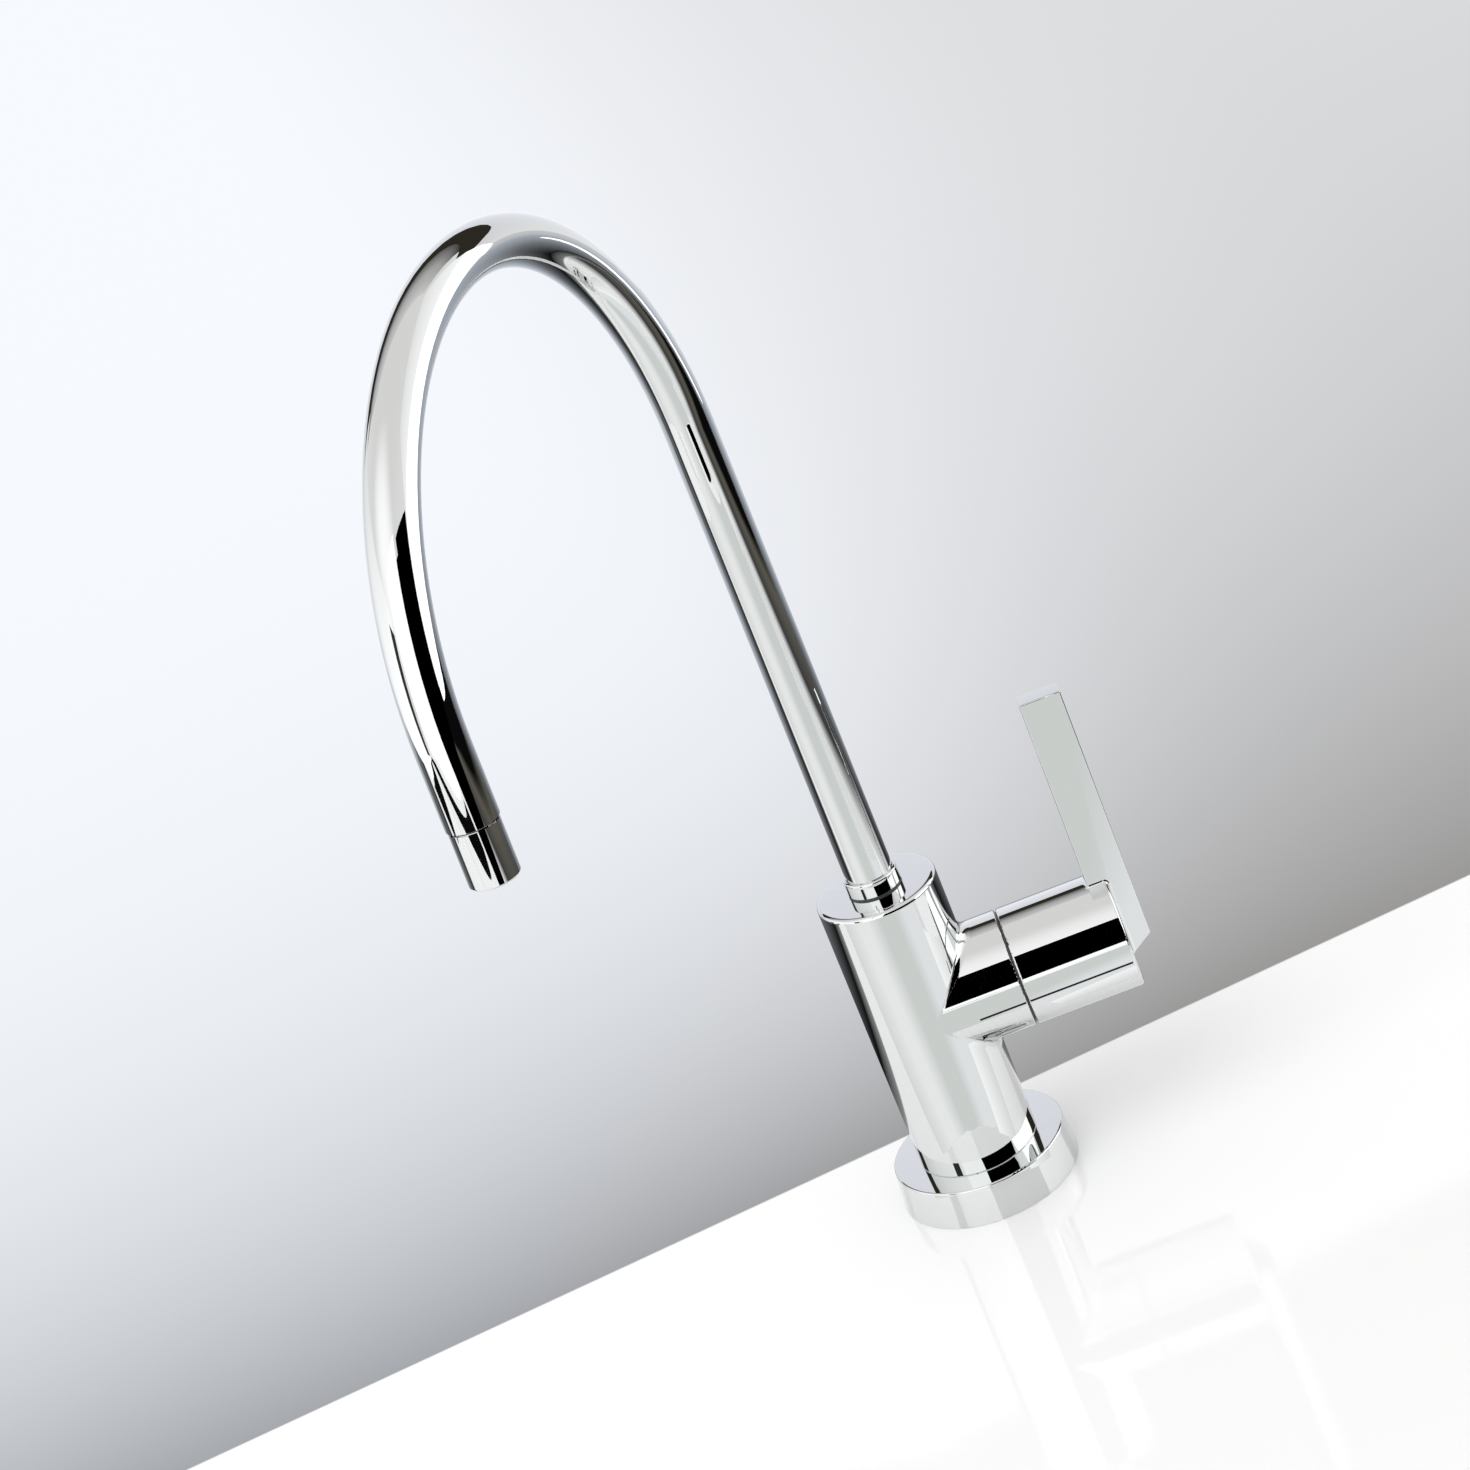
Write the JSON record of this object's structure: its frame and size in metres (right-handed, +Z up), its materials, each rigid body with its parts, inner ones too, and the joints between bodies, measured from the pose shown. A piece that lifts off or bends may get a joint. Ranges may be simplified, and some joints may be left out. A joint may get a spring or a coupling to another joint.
{
  "type": "drinking water faucet",
  "caption": "Deck mounted drinking water faucet with a tall swivelling gooseneck spout and a quarter turn side lever.",
  "frame": {"origin": "centre of the flange's underside, on the deck's top face", "axes": "+Z up along the spout's swivel axis; +X along the valve axis, from the body towards the handle; -Y is the user's side"},
  "size_m": [0.1294, 0.1696, 0.3597],
  "materials": {
    "chrome": "polished chrome plate on brass",
    "brass": "machined brass, unplated",
    "steel": "stamped or drawn stainless steel",
    "rubber": "moulded black rubber",
    "acetal": "dark acetal",
    "ceramic": "lapped ceramic"
  },
  "bodies": {
    "faucet_body": {"deck_flange": "chrome", "flange_gasket": "rubber", "body_casting": "chrome", "boss_washer": "acetal", "cartridge_seat_seal": "rubber", "fixed_disc": "ceramic", "cartridge_housing": "brass", "cartridge_o_ring": "rubber", "spout_bearing_washer": "acetal", "spout_snap_ring": "steel", "threaded_shank": "brass", "shank_o_ring": "rubber", "deck_rubber_washer": "rubber", "deck_steel_washer": "steel", "lock_washer": "steel", "mounting_nut": "brass"},
    "handle": {"moving_disc": "ceramic", "cartridge_spindle": "brass", "spindle_o_ring": "rubber", "spindle_circlip": "steel", "lever_handle": "chrome", "handle_grub_screw": "steel"},
    "spout": {"spout_bush": "chrome", "upper_spout_o_ring": "rubber", "lower_spout_o_ring": "rubber", "spout_tube": "chrome", "outlet_tip": "chrome", "outlet_seal": "rubber", "outlet_screen": "steel", "flow_straightener": "acetal"}
  },
  "joints": [
    {"name": "spout_swivel", "type": "hinge", "parent": "faucet_body", "child": "spout", "pos_m": [0, 0, 0], "axis": [0, 0, 1], "continuous": true},
    {"name": "lever_turn", "type": "hinge", "parent": "faucet_body", "child": "handle", "pos_m": [0, 0, 0.0523], "axis": [1, 0, 0], "range_deg": [0, 90]}
  ]
}
